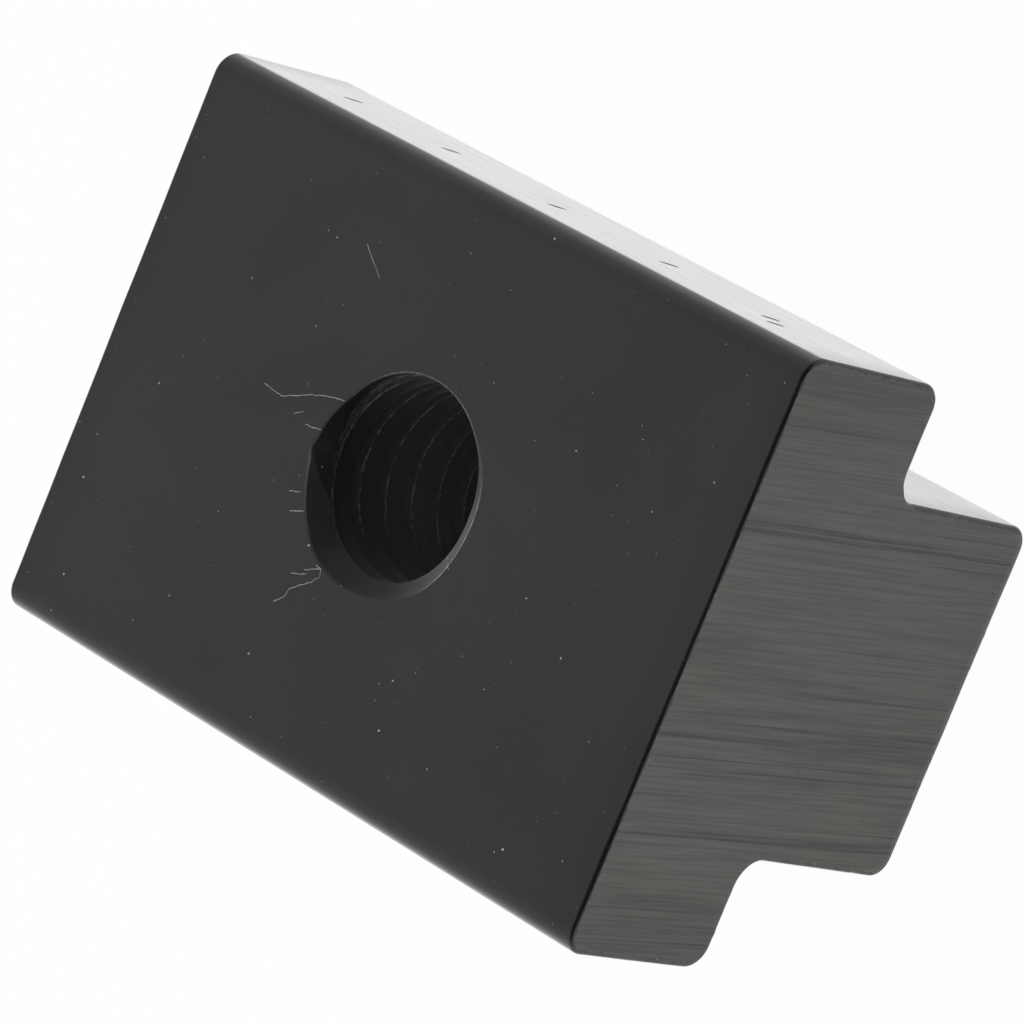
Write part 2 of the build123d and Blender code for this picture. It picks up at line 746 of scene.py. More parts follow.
def place_shapes(tree, points, shape, rotation, scale):
    """One shape set on every point, as real geometry."""
    placed = node(
        tree,
        "GeometryNodeInstanceOnPoints",
        {"Points": points, "Instance": shape, "Rotation": rotation, "Scale": scale},
    )
    return node(tree, "GeometryNodeRealizeInstances", {"Geometry": placed})


def nick_tree():
    """Geometry tree that sets a row of small, slender nick shapes along X."""
    tree, value, out = new_tree("Nick Row", "GeometryNodeTree", NICK_INPUTS, [("Geometry", "Geometry")])
    step = join(tree, value["Spacing"])
    line = node(
        tree,
        "GeometryNodeMeshLine",
        {"Count": value["Count"], "Start Location": value["Start"], "Offset": step},
    )
    back = times(tree, value["Scatter"], -1.0)
    low = join(tree, back, 0.0, back)
    high = join(tree, value["Scatter"], 0.0, value["Scatter"])
    stray = random_vector(tree, low, high, value["Seed"])
    moved = node(tree, "GeometryNodeSetPosition", {"Geometry": line, "Offset": stray})
    shape = node(tree, "GeometryNodeMeshIcoSphere", {"Radius": 1.0, "Subdivisions": 3})
    turned = join(tree, 0.0, value["Tilt"])
    feed(tree, place_shapes(tree, moved, shape, turned, value["Size"]), out["Geometry"])
    return tree


def make_nicks(sizes):
    """Cutters for the marks on the flange's side."""
    tree = nick_tree()
    side = sizes.base_width / 2 + 0.03 * MM
    rows = []
    for name, count, spacing, (along, up), size, scatter, seed in NICK_ROWS:
        values = {
            "Count": count,
            "Spacing": spacing * MM,
            "Start": (along * MM, side, up * MM),
            "Size": tuple(part * MM for part in size),
            "Tilt": math.radians(-12),
            "Scatter": scatter * MM,
            "Seed": seed,
        }
        rows.append(grow(name, tree, values))
    return rows


def subtract(made, cutters):
    """Cuts closed cutters out of an object one by one, drops them, and stops if a gap is left."""
    for cutter in cutters:
        modifier = made.modifiers.new(cutter.name, "BOOLEAN")
        modifier.operation = "DIFFERENCE"
        modifier.solver = "EXACT"
        modifier.object = cutter
        settle(made)
        discard(cutter)
    bm = bmesh.new()
    bm.from_mesh(made.data)
    gaps = sum(1 for edge in bm.edges if not edge.is_manifold)
    bm.free()
    if gaps:
        raise RuntimeError(f"{gaps} edges of the nut are left open")


def sort_faces(mesh, sizes, thread):
    """Gives each face its material slot."""
    edge = sizes.length / 2 - sizes.dust_room - WELD
    reach = thread.major_radius + 0.2 * MM
    faces_end, faces_up = 0.95, 0.9995
    for face in mesh.polygons:
        middle = face.center
        # the tap and the countersinks stand apart across the slot, so this is from between the two
        off_axis = math.hypot(middle.x - thread.drift, middle.y - thread.side_drift / 2)
        if abs(middle.x) > edge and abs(face.normal.x) > faces_end:
            face.material_index = SAWN
        elif off_axis < reach and abs(face.normal.z) < faces_up:
            face.material_index = HOLE
        else:
            face.material_index = SKIN


def even_shading(made):
    """Smooth rounded faces, true flat ones and crisp thread edges."""
    mesh = made.data
    mesh.shade_smooth()
    mesh.set_sharp_from_angle(angle=math.radians(22))
    modifier = made.modifiers.new("even shading", "WEIGHTED_NORMAL")
    modifier.mode = "FACE_AREA"
    modifier.keep_sharp = True
    modifier.weight = 90
    settle(made)


# ---- Shader groups ----


def grain_group(name):
    """Streaks drawn out along one direction: a value round 0.5."""
    inputs = [
        ("Vector", "Vector", None),
        ("Stretch", "Vector", (1.0, 1.0, 1.0)),
        ("Detail", "Float", 4.0),
        ("Waver", "Float", 0.0),
    ]
    tree, value, out = new_tree(name, "ShaderNodeTree", inputs, [("Value", "Float")])
    scaled = vector_calc(tree, "MULTIPLY", value["Vector"], value["Stretch"])
    streak = node(
        tree,
        "ShaderNodeTexNoise",
        {
            "Vector": scaled,
            "Scale": 1.0,
            "Detail": value["Detail"],
            "Distortion": value["Waver"],
        },
    )
    feed(tree, streak, out["Value"])
    return tree


def mottle_group(name):
    """Cloudy mix of two oxide colours, with a roughness that follows it."""
    inputs = [
        ("Vector", "Vector", None),
        ("Deep", "Color", grey(0.02)),
        ("Pale", "Color", grey(0.05)),
        ("Cloud Scale", "Float", 0.25),
        ("Fleck Scale", "Float", 6.0),
        ("Roughness", "Float", 0.35),
    ]
    outputs = [("Color", "Color"), ("Roughness", "Float")]
    tree, value, out = new_tree(name, "ShaderNodeTree", inputs, outputs)
    cloud = node(
        tree,
        "ShaderNodeTexNoise",
        {"Vector": value["Vector"], "Scale": value["Cloud Scale"], "Detail": 3.0, "Roughness": 0.55},
    )
    fleck = node(
        tree,
        "ShaderNodeTexNoise",
        {"Vector": value["Vector"], "Scale": value["Fleck Scale"], "Detail": 2.0, "Roughness": 0.6},
    )
    broad = ramp(tree, cloud, 0.3, 0.7)
    small = ramp(tree, fleck, 0.3, 0.7)
    share = plus(tree, times(tree, broad, 0.7), times(tree, small, 0.3))
    feed(tree, blend(tree, share, value["Deep"], value["Pale"]), out["Color"])
    shift = calc(tree, "MULTIPLY_ADD", minus(tree, share, 0.5), 0.08, value["Roughness"])
    feed(tree, shift, out["Roughness"])
    return tree


def pit_group(name):
    """Sparse round spots: 1 inside a spot, 0 elsewhere."""
    inputs = [
        ("Vector", "Vector", None),
        ("Scale", "Float", 2.0),
        ("Size", "Float", 0.12),
        ("Share", "Float", 0.3),
    ]
    tree, value, out = new_tree(name, "ShaderNodeTree", inputs, [("Mask", "Float")])
    cells = node(tree, "ShaderNodeTexVoronoi", {"Vector": value["Vector"], "Scale": value["Scale"]})
    chance = node(tree, "ShaderNodeSeparateColor", {"Color": cells.outputs["Color"]})
    kept = calc(tree, "LESS_THAN", chance, value["Share"])
    own_size = times(tree, value["Size"], calc(tree, "MULTIPLY_ADD", chance.outputs[1], 1.2, 0.4))
    inside = ramp(tree, cells.outputs["Distance"], times(tree, own_size, 0.6), own_size, 1.0, 0.0)
    feed(tree, times(tree, kept, inside), out["Mask"])
    return tree


def crest_group(name):
    """The upper edges of the thread's crests, as a mask: 1 on the edge, 0 away from it."""
    inputs = [
        ("Vector", "Vector", None),
        ("Centre", "Vector", (0.0, 0.0, 0.0)),
        ("Pitch", "Float", 1.4),
        ("Turn", "Float", 1.0),
        ("Phase", "Float", 0.0),
        ("Edge", "Float", 0.16),
        ("Width", "Float", 0.05),
    ]
    tree, value, out = new_tree(name, "ShaderNodeTree", inputs, [("Mask", "Float")])
    place = vector_calc(tree, "SUBTRACT", value["Vector"], value["Centre"])
    parts = node(tree, "ShaderNodeSeparateXYZ", {"Vector": place})
    angle = calc(tree, "ARCTAN2", parts.outputs["Y"], parts.outputs["X"])
    turned = calc(tree, "DIVIDE", minus(tree, angle, value["Phase"]), TURN)
    height = calc(tree, "DIVIDE", parts.outputs["Z"], value["Pitch"])
    crests = minus(tree, height, times(tree, turned, value["Turn"]))
    offset = minus(tree, plus(tree, crests, 0.5), value["Edge"])
    away = calc(tree, "ABSOLUTE", minus(tree, calc(tree, "FRACT", offset), 0.5))
    half = times(tree, value["Width"], 0.5)
    feed(tree, ramp(tree, away, half, times(tree, half, 2.0), 1.0, 0.0), out["Mask"])
    return tree


SHADER_GROUPS = {
    "Drawn Grain": grain_group,
    "Oxide Mottle": mottle_group,
    "Sparse Pits": pit_group,
    "Crest Edge": crest_group,
}


def use_group(tree, name, inputs):
    """A group placed in a material with its own values. The group is built on its first use."""
    group = bpy.data.node_groups.get(name) or SHADER_GROUPS[name](name)
    made = node(tree, "ShaderNodeGroup", node_tree=group)
    for key, value in inputs.items():
        feed(tree, value, made.inputs[key])
    return made.outputs


def grain(tree, place, stretch, detail, waver=0.0):
    """Streaks as one value, drawn out least where the stretch is largest."""
    inputs = {"Vector": place, "Stretch": stretch, "Detail": detail, "Waver": waver}
    return use_group(tree, "Drawn Grain", inputs)["Value"]


def mottle(tree, place, colours, scales, roughness):
    """Cloudy oxide between a deep and a pale colour, by the scales of its clouds and flecks."""
    inputs = {
        "Vector": place,
        "Deep": rgba(colours[0]),
        "Pale": rgba(colours[1]),
        "Cloud Scale": scales[0],
        "Fleck Scale": scales[1],
        "Roughness": roughness,
    }
    return use_group(tree, "Oxide Mottle", inputs)


def shade(colour, share):
    """A colour made darker or paler."""
    return [part * share for part in colour]


def start_material(name):
    """A material with its shader, its output and object coordinates in millimetres."""
    material = bpy.data.materials.new(name)
    material.use_nodes = True
    tree = material.node_tree
    tree.nodes.clear()
    out = node(tree, "ShaderNodeOutputMaterial")
    shader = node(tree, "ShaderNodeBsdfPrincipled")
    feed(tree, shader, out.inputs["Surface"])
    place = node(tree, "ShaderNodeTexCoord")
    metres = place.outputs["Object"]
    scaled = node(tree, "ShaderNodeMapping", {"Vector": metres, "Scale": (1000, 1000, 1000)})
    return material, tree, shader, scaled.outputs[0]


def paint(tree, shader, colour, roughness):
    """Gives a shader its colour and its roughness."""
    feed(tree, colour, shader.inputs["Base Color"])
    feed(tree, roughness, shader.inputs["Roughness"])


def raise_surface(tree, shader, heights):
    """Adds up heights in millimetres and feeds them to the shader's normal through a bump."""
    total = None
    for value, size in heights:
        part = times(tree, value, size)
        total = part if total is None else plus(tree, total, part)
    bump = node(tree, "ShaderNodeBump", {"Strength": 1.0, "Distance": MM, "Height": total})
    feed(tree, bump, shader.inputs["Normal"])


def steel_shader(shader, metallic, oil):
    """What all the oxide finishes share: part metal, under a thin film of oil."""
    shader.inputs["Metallic"].default_value = metallic
    shader.inputs["IOR"].default_value = 1.5
    shader.inputs["Coat Weight"].default_value = oil
    shader.inputs["Coat Roughness"].default_value = 0.22
    shader.inputs["Coat IOR"].default_value = 1.5


def painted_reflection_colour(tree, place, colour, painted_reflection):
    """Painted reflection: the colour turns towards white where a face is seen nearly edge on, and is
    painted weaker on the -Y flange side.
    """
    weight = node(tree, "ShaderNodeLayerWeight", {"Blend": 0.5})
    across = axis(tree, place, "Y")
    share = ramp(tree, weight.outputs["Facing"], 0.64, 0.82, smooth=True)
    # painted reflection kept to a quarter on the -Y flange side
    share = times(tree, share, ramp(tree, across, -9.9, -9.2, 0.25, 1.0))
    return blend(tree, share, colour, painted_reflection)


def skin_material(finish):
    """Black oxide on the ground faces: cloudy, with a faint lengthwise grain and small pits; a painted
    reflection where a face is seen nearly edge on, and painted shade towards the sawn ends.
    """
    material, tree, shader, place = start_material("black_oxide_skin")
    steel_shader(shader, 0.5, 0.4)
    oxide = mottle(tree, place, (finish.deep, finish.pale), (0.16, 7.0), finish.skin_roughness)
    drawn = grain(tree, place, (0.35, 9.0, 9.0), 3.0)
    pits = use_group(tree, "Sparse Pits", {"Vector": place, "Scale": 1.1, "Size": 0.05, "Share": 0.35})
    streaks = grain(tree, place, (0.25, 7.0, 7.0), 5.0)
    specks = grain(tree, place, (5.0, 9.0, 9.0), 3.0)
    # the painted reflection, streaked along the grain: dimmer and tinted between the streaks
    worn = times(tree, ramp(tree, streaks, 0.38, 0.62), ramp(tree, specks, 0.30, 0.55, 0.6, 1.0))
    stained = [part * share for part, share in zip(finish.painted_reflection, (0.84, 0.79, 0.77))]
    streaked_reflection = blend(tree, worn, rgba(stained), rgba(finish.painted_reflection))
    colour = painted_reflection_colour(tree, place, oxide["Color"], streaked_reflection)
    # painted shade: the skin darker towards the sawn ends
    colour = blend(tree, painted_end_shade(tree, place), colour, (0.010, 0.010, 0.011, 1))
    pitted = times(tree, pits["Mask"], 0.6)
    colour = blend(tree, pitted, colour, grey(0.008))
    paint(tree, shader, colour, oxide["Roughness"])
    raise_surface(tree, shader, [(drawn, 0.0015), (pits["Mask"], -0.006)])
    return material


def painted_end_shade(tree, place):
    """Painted shade: a darker share of the skin close to the sawn ends."""
    along = calc(tree, "ABSOLUTE", axis(tree, place, "X"))
    return ramp(tree, along, 12.9, 14.3, 0.0, 0.28)


def sawn_material(finish):
    """Black oxide over saw marks that run down the T, with a brighter torn rim."""
    material, tree, shader, place = start_material("black_oxide_sawn")
    steel_shader(shader, 0.5, 0.0)
    tilt = (math.radians(-2.5), 0, 0)
    tilted = node(tree, "ShaderNodeMapping", {"Vector": place, "Rotation": tilt})
    fine = grain(tree, tilted, (1.0, 11.0, 0.25), 6.0, waver=0.4)
    lines = grain(tree, tilted, (1.0, 4.5, 0.035), 4.0)
    bands = grain(tree, tilted, (1.0, 0.6, 0.05), 2.0)
    oxide = mottle(tree, place, (shade(finish.sawn, 0.88), shade(finish.sawn, 1.12)), (0.4, 5.0), 0.42)
    tint = grain(tree, place, (0.2, 0.3, 0.2), 1.0)
    red, green, blue = finish.sawn
    stained = (red * 1.05, green * 1.0, blue * 0.93, 1)
    colour = blend(tree, ramp(tree, tint, 0.42, 0.60, 0.0, 0.8), oxide["Color"], stained)
    dark_line = ramp(tree, lines, 0.42, 0.33, 0.0, 0.35)
    dark_band = ramp(tree, bands, 0.46, 0.34, 0.0, 0.22)
    faint = ramp(tree, fine, 0.38, 0.62, 0.29, 0.0)
    grooves = calc(tree, "ADD", calc(tree, "MAXIMUM", dark_line, dark_band), faint, clamp=True)
    colour = blend(tree, grooves, colour, grey(0.012))
    colour = blend(tree, flange_shade(tree, place), colour, grey(0.012))
    pits = use_group(tree, "Sparse Pits", {"Vector": place, "Scale": 1.4, "Size": 0.07, "Share": 0.2})
    colour = blend(tree, times(tree, pits["Mask"], 0.75), colour, grey(0.01))
    colour = blend(tree, rim_share(tree, place), colour, rgba(finish.rim))
    paint(tree, shader, colour, oxide["Roughness"])
    raise_surface(tree, shader, [(fine, 0.004), (lines, 0.006), (pits["Mask"], -0.02)])
    return material


def flange_shade(tree, place):
    """A darker share towards the two flanges' ends."""
    side = calc(tree, "ABSOLUTE", axis(tree, place, "Y"))
    return ramp(tree, side, 7.5, 10.2, 0.0, 0.16)


def rim_share(tree, place):
    """Bare metal round the sawn border: soft along the tongue's face, in sparse specks elsewhere."""
    rim = node(tree, "ShaderNodeAttribute", attribute_name="rim").outputs["Fac"]
    broken = grain(tree, place, (7.0, 7.0, 7.0), 4.0)
    specks = ramp(tree, broken, 0.58, 0.70, 0.0, 0.85)
    soft = ramp(tree, axis(tree, place, "Z"), 1.6, 0.3, 0.0, 0.62)
    return times(tree, rim, calc(tree, "MAXIMUM", specks, soft))


def inner_share(tree, place, thread):
    """Share of bore, 0 on the countersinks; share towards half way down; and depth from the nearer face."""
    height = axis(tree, place, "Z")
    half = (nut_high.z - nut_low.z) / 2 / MM
    middle = (nut_high.z + nut_low.z) / 2 / MM
    away = calc(tree, "ABSOLUTE", minus(tree, height, middle))
    depth = minus(tree, half, away)
    lean = thread.sink_lean / thread.core_radius
    heading = (lean * math.cos(thread.sink_side), lean * math.sin(thread.sink_side), 0)
    centre = vector_calc(tree, "SUBTRACT", place, (thread.drift / MM, thread.side_drift / MM, 0))
    border = plus(tree, vector_calc(tree, "DOT_PRODUCT", centre, heading), thread.sink_depth / MM)
    inner = ramp(tree, minus(tree, depth, border), 0.0, 0.06)
    return inner, ramp(tree, away, half - 0.5, 2.0, 0.0, 1.0), depth


def toward(tree, place, thread, degrees):
    """How far a point lies to one side of the countersink: 1 in that direction, -1 in the other."""
    centre = vector_calc(tree, "SUBTRACT", place, (thread.sink_drift / MM, 0, 0))
    flat = vector_calc(tree, "NORMALIZE", vector_calc(tree, "MULTIPLY", centre, (1, 1, 0)))
    angle = math.radians(degrees)
    return vector_calc(tree, "DOT_PRODUCT", flat, (math.cos(angle), math.sin(angle), 0))


def ring_colour(tree, place, thread, colour, finish):
    """The countersink: painted shade on one side up to where the tap ran out, and towards -Y; fine rings
    worn by rubbing, painted lighter, on the other side.
    """
    height = axis(tree, place, "Z")
    depth = minus(tree, nut_high.z / MM, height)
    # painted shade on one side of the countersink
    side = calc(tree, "MULTIPLY_ADD", depth, 0.6, toward(tree, place, thread, 120))
    near = ramp(tree, toward(tree, place, thread, 180), 0.45, 0.80)
    painted_shade_side = times(tree, ramp(tree, side, 0.42, 0.52), near)
    # fine rings worn by rubbing, painted lighter only on this side, as if lit
    rubbed_and_lit = ramp(tree, toward(tree, place, thread, -20), 0.35, 0.95)
    # painted shade towards -Y
    shaded = ramp(tree, toward(tree, place, thread, -95), 0.25, 0.85, 0.0, 0.60)
    rings = grain(tree, place, (0.6, 0.6, 30.0), 3.0)
    colour = blend(tree, times(tree, rubbed_and_lit, rings), colour, rgba(finish.rubbed_and_lit))
    colour = blend(tree, shaded, colour, grey(0.008))
    colour = blend(tree, times(tree, painted_shade_side, 0.50), colour, grey(0.004))
    return blend(tree, worn_lip(tree, place, thread, depth), colour, rgba(finish.lip))


def worn_lip(tree, place, thread, depth):
    """Share of bare metal on the very edge of the mouth: whole on its near side, in bits on the far one."""
    broken = grain(tree, place, (4.0, 4.0, 4.0), 4.0)
    fine = grain(tree, place, (11.0, 11.0, 11.0), 3.0)
    edge = ramp(tree, depth, 0.022, 0.029, 1.0, 0.0)
    near = ramp(tree, toward(tree, place, thread, 14), 0.50, 0.80)
    far = ramp(tree, toward(tree, place, thread, 92), 0.72, 0.90, 0.0, 0.55)
    solid = times(tree, near, ramp(tree, broken, 0.34, 0.54, 0.35, 1.0))
    bits = times(tree, far, ramp(tree, fine, 0.46, 0.60))
    return times(tree, edge, calc(tree, "MAXIMUM", solid, bits))


def crest_masks(tree, place, thread):
    """Masks along the thread's crests: their upper edge, their flat middle and the whole crest."""
    half_crest = 0.5 - thread.root_share / 2 - flank_share(thread)
    wound = {
        "Vector": place,
        "Centre": (thread.drift / MM, thread.side_drift / MM, thread.crest_height / MM),
        "Pitch": thread.pitch / MM,
        "Turn": hand_sign(thread),
        "Phase": thread.phase,
    }
    strips = ((0.03 - half_crest, 0.07), (-0.3 * half_crest, 1.1 * half_crest), (0.0, 2 * half_crest))
    return [
        use_group(tree, "Crest Edge", {**wound, "Edge": edge, "Width": width})["Mask"]
        for edge, width in strips
    ]


def rubbed_and_lit_share(tree, place, thread, flats, depth):
    """Share of metal worn by rubbing and of painted highlight on the crests' flats, and on the wall above
    them on the far side.
    """
    streaks = grain(tree, place, (3.0, 3.0, 16.0), 4.0)
    far = ramp(tree, toward(tree, place, thread, 120), 0.1, 0.7)
    upper = times(tree, ramp(tree, depth, 1.05, 0.85), far)
    smooth = calc(tree, "MAXIMUM", times(tree, flats, 0.45), upper)
    return times(tree, smooth, ramp(tree, streaks, 0.42, 0.70, 0.0, 0.30))


def bore_material(finish, thread):
    """Deep oxide in the hole, with fine marks that run round it and thin, broken bright crests; painted
    light makes it paler down the thread, painted shade darkens the crests, and the crests' edges, worn by
    rubbing, are painted bright only on the lit side.
    """
    material, tree, shader, place = start_material("black_oxide_bore")
    steel_shader(shader, 0.0, 0.0)
    shader.inputs["IOR"].default_value = 1.15
    oxide = mottle(tree, place, (shade(finish.bore, 0.8), shade(finish.bore, 1.2)), (0.8, 9.0), 0.55)
    inner, deeper, depth = inner_share(tree, place, thread)
    edges, flats, whole = crest_masks(tree, place, thread)
    lit = ramp(tree, toward(tree, place, thread, 145), -0.1, 0.6)
    rubbed_and_lit = times(tree, rubbed_and_lit_share(tree, place, thread, flats, depth), lit)
    # painted light: paler down the thread, palest half way down
    colour = blend(tree, deeper, rgba(finish.painted_light_depths), rgba(finish.middle))
    # painted shade on the crests
    colour = blend(tree, times(tree, whole, 0.5), colour, grey(0.02))
    # crest flats worn by rubbing, painted bright only on the lit side
    colour = blend(tree, rubbed_and_lit, colour, rgba(finish.crest))
    colour = blend(tree, inner, ring_colour(tree, place, thread, oxide["Color"], finish), colour)
    # painted highlight on the crests' upper edges, partly metal worn by rubbing, only on the lit side and
    # stronger half way down
    broken = grain(tree, place, (4.0, 4.0, 8.0), 7.0)
    share = times(tree, edges, ramp(tree, broken, 0.46, 0.60, 0.12, 1.0))
    share = times(tree, share, calc(tree, "MULTIPLY_ADD", deeper, 0.5, 0.5))
    share = times(tree, times(tree, share, lit), inner)
    colour = blend(tree, share, colour, rgba(finish.crest))
    paint(tree, shader, colour, oxide["Roughness"])
    marks = grain(tree, place, (0.8, 0.8, 16.0), 3.0)
    raise_surface(tree, shader, [(marks, 0.006)])
    return material


def dust_material(dust):
    """Dull pale dust and lint."""
    material, tree, shader, place = start_material("dust")
    oxide = mottle(tree, place, (shade(dust.colour, 0.55), dust.colour), (1.3, 20.0), 0.85)
    paint(tree, shader, oxide["Color"], oxide["Roughness"])
    weave = grain(tree, place, (30.0, 30.0, 30.0), 2.0)
    raise_surface(tree, shader, [(weave, 0.004)])
    return material


# ---- Dust ----


SPECK_INPUTS = (
    ("Geometry", "Geometry", None),
    ("Density", "Float", 1.0),
    ("Size", "Float", 0.05 * MM),
    ("Seed", "Int", 1),
    ("Low Corner", "Vector", (0.0, 0.0, 0.0)),
    ("High Corner", "Vector", (0.0, 0.0, 0.0)),
    ("Material", "Material", None),
)


def flake_size(tree, value):
    """Size of each flake along its three axes: most flakes are small, and all are long and flat."""
    chance = node(tree, "FunctionNodeRandomValue", {"Seed": value["Seed"]}, data_type="FLOAT")
    feed(tree, 0.0, chance.inputs[2])
    feed(tree, 1.0, chance.inputs[3])
    skewed = calc(tree, "POWER", chance.outputs[1], 4.0)
    own = times(tree, value["Size"], calc(tree, "MULTIPLY_ADD", skewed, 1.7, 0.55))
    return join(tree, times(tree, own, 1.5), own, times(tree, own, 0.6))


def speck_tree():
    """Geometry tree that strews small flakes over a surface, inside a box."""
    tree, value, out = new_tree(
        "Strewn Specks", "GeometryNodeTree", SPECK_INPUTS, [("Geometry", "Geometry")]
    )
    sideways = axis(tree, node(tree, "GeometryNodeInputNormal"), "Y")
    ends_and_tops = calc(tree, "LESS_THAN", calc(tree, "ABSOLUTE", sideways), 0.5)
    density = times(tree, value["Density"], ends_and_tops)
    spread = node(
        tree,
        "GeometryNodeDistributePointsOnFaces",
        {"Mesh": value["Geometry"], "Density": density, "Seed": value["Seed"]},
    )
    flake = node(tree, "GeometryNodeMeshIcoSphere", {"Radius": 0.5, "Subdivisions": 1})
    spin = random_vector(tree, (0.0, 0.0, 0.0), (0.4, 0.4, TURN), value["Seed"])
    real = place_shapes(tree, spread, flake, spin, flake_size(tree, value))
    above = vector_calc(tree, "MAXIMUM", node(tree, "GeometryNodeInputPosition"), value["Low Corner"])
    inside = vector_calc(tree, "MINIMUM", above, value["High Corner"])
    kept = node(tree, "GeometryNodeSetPosition", {"Geometry": real, "Position": inside})
    painted = node(tree, "GeometryNodeSetMaterial", {"Geometry": kept, "Material": value["Material"]})
    feed(tree, painted, out["Geometry"])
    return tree


# fibres on the big face, each by a few points along and across it in millimetres
LINT = (
    ((-6.9, 1.0), (-6.5, 0.94), (-6.0, 0.89), (-5.5, 1.09), (-4.7, 1.45), (-4.0, 1.68), (-3.2, 1.83)),
    ((-4.45, 0.43), (-4.1, 0.48), (-3.7, 0.56)),
    ((-4.0, -1.86), (-3.5, -1.70)),
    ((-3.65, -2.47), (-3.05, -2.24)),
    (
        (-2.8, -5.5),
        (-2.45, -5.2),
        (-2.35, -4.85),
        (-2.05, -4.6),
        (-1.55, -4.25),
        (-1.3, -3.95),
        (-1.35, -3.7),
        (-1.65, -3.65),
    ),
    ((-2.05, -4.0), (-1.4, -3.7)),
    ((-2.55, -4.35), (-1.9, -4.1)),
    ((-4.95, 7.0), (-3.8, 6.15)),
    ((-5.15, 0.55), (-4.75, 0.8)),
    ((3.75, -1.25), (3.8, -1.4), (3.9, -1.45)),
)


def lint_line(marks, height, wobble):
    """Points of one fibre through its marks, each pushed a little aside."""
    spacing, push = 0.1, 0.018
    points = []
    for start, end in zip(marks, marks[1:]):
        count = max(2, round(math.dist(start, end) / spacing))
        for step in range(count):
            place = Vector(start).lerp(Vector(end), step / count)
            aside = Vector((wobble.uniform(-1, 1), wobble.uniform(-1, 1))) * push
            points.append(((place + aside) * MM).to_3d() + Vector((0, 0, height)))
    points.append((Vector(marks[-1]) * MM).to_3d() + Vector((0, 0, height)))
    return points


def make_lint(dust, height):
    """All the fibres as one mesh of thin closed tubes."""
    wobble = random.Random(dust.seed)
    curve = bpy.data.curves.new("lint", "CURVE")
    curve.dimensions = "3D"
    curve.bevel_depth = dust.lint_thickness / 2
    curve.bevel_resolution = 1
    curve.use_fill_caps = True
    for marks in LINT:
        points = lint_line(marks, height, wobble)
        spline = curve.splines.new("POLY")
        spline.points.add(len(points) - 1)
        for target, point in zip(spline.points, points):
            target.co = (*point, 1)
            target.radius = wobble.uniform(0.55, 1.0)
    helper = new_object("lint_curve", curve)
    graph = bpy.context.evaluated_depsgraph_get()
    mesh = bpy.data.meshes.new_from_object(helper.evaluated_get(graph))
    bpy.data.objects.remove(helper)
    bpy.data.curves.remove(curve)
    bm = bmesh.new()
    bm.from_mesh(mesh)
    bmesh.ops.remove_doubles(bm, verts=bm.verts, dist=WELD / 4)
    bmesh.ops.recalc_face_normals(bm, faces=bm.faces)
    bm.to_mesh(mesh)
    bm.free()
    return mesh


# ---- Stage ----


def background_share(tree):
    """1 for rays that see the background: from the camera, a reflection or glass."""
    path = node(tree, "ShaderNodeLightPath")
    seen = calc(tree, "MAXIMUM", path.outputs["Is Camera Ray"], path.outputs["Is Glossy Ray"])
    return calc(tree, "MAXIMUM", seen, path.outputs["Is Transmission Ray"])


def floor_material(stage):
    """A pale floor that reads as white and keeps a faint shadow."""
    material = bpy.data.materials.new("pale_floor")
    material.use_nodes = True
    tree = material.node_tree
    tree.nodes.clear()
    out = node(tree, "ShaderNodeOutputMaterial")
    matt = node(tree, "ShaderNodeBsdfDiffuse", {"Color": rgba(stage.floor_colour)})
    glow = node(tree, "ShaderNodeEmission", {"Color": grey(1.0), "Strength": 1.0})
    share = times(tree, background_share(tree), 0.98)
    mixed = node(tree, "ShaderNodeMixShader", {"Fac": share})
    feed(tree, matt, mixed.inputs[1])
    feed(tree, glow, mixed.inputs[2])
    feed(tree, mixed, out.inputs["Surface"])
    return material


def way_to_camera(stage):
    """Unit vector from the aim to the camera."""
    flat = math.cos(stage.elevation)
    along = math.sin(stage.azimuth) * flat
    across = -math.cos(stage.azimuth) * flat
    return Vector((along, across, math.sin(stage.elevation)))


def make_world(stage):
    """A light tent: white all round, open and dark on the camera's side."""
    world = bpy.data.worlds.new("light_tent")
    bpy.context.scene.world = world
    world.use_nodes = True
    tree = world.node_tree
    tree.nodes.clear()
    out = node(tree, "ShaderNodeOutputWorld")
    place = node(tree, "ShaderNodeTexCoord")
    opening = way_to_camera(stage)
    facing = vector_calc(tree, "DOT_PRODUCT", place.outputs["Generated"], opening)
    tent = ramp(tree, facing, 0.72, 0.05, stage.opening, 0.85 * stage.sky, smooth=True)
    path = node(tree, "ShaderNodeLightPath")
    inside = node(tree, "ShaderNodeBackground", {"Strength": tent})
    white = node(tree, "ShaderNodeBackground", {"Color": grey(1.0), "Strength": 1.0})
    mixed = node(tree, "ShaderNodeMixShader", {"Fac": path.outputs["Is Camera Ray"]})
    feed(tree, inside, mixed.inputs[1])
    feed(tree, white, mixed.inputs[2])
    feed(tree, mixed, out.inputs["Surface"])


def add_softbox(name, place, target, size, power):
    """A square softbox that looks at the target."""
    light = bpy.data.lights.new(name, "AREA")
    light.shape = "SQUARE"
    light.size = size
    light.energy = power
    made = new_object(name, light)
    made.location = place
    made.rotation_mode = "QUATERNION"
    made.rotation_quaternion = (Vector(target) - Vector(place)).to_track_quat("-Z", "Y")
    made.visible_glossy = False
    return made


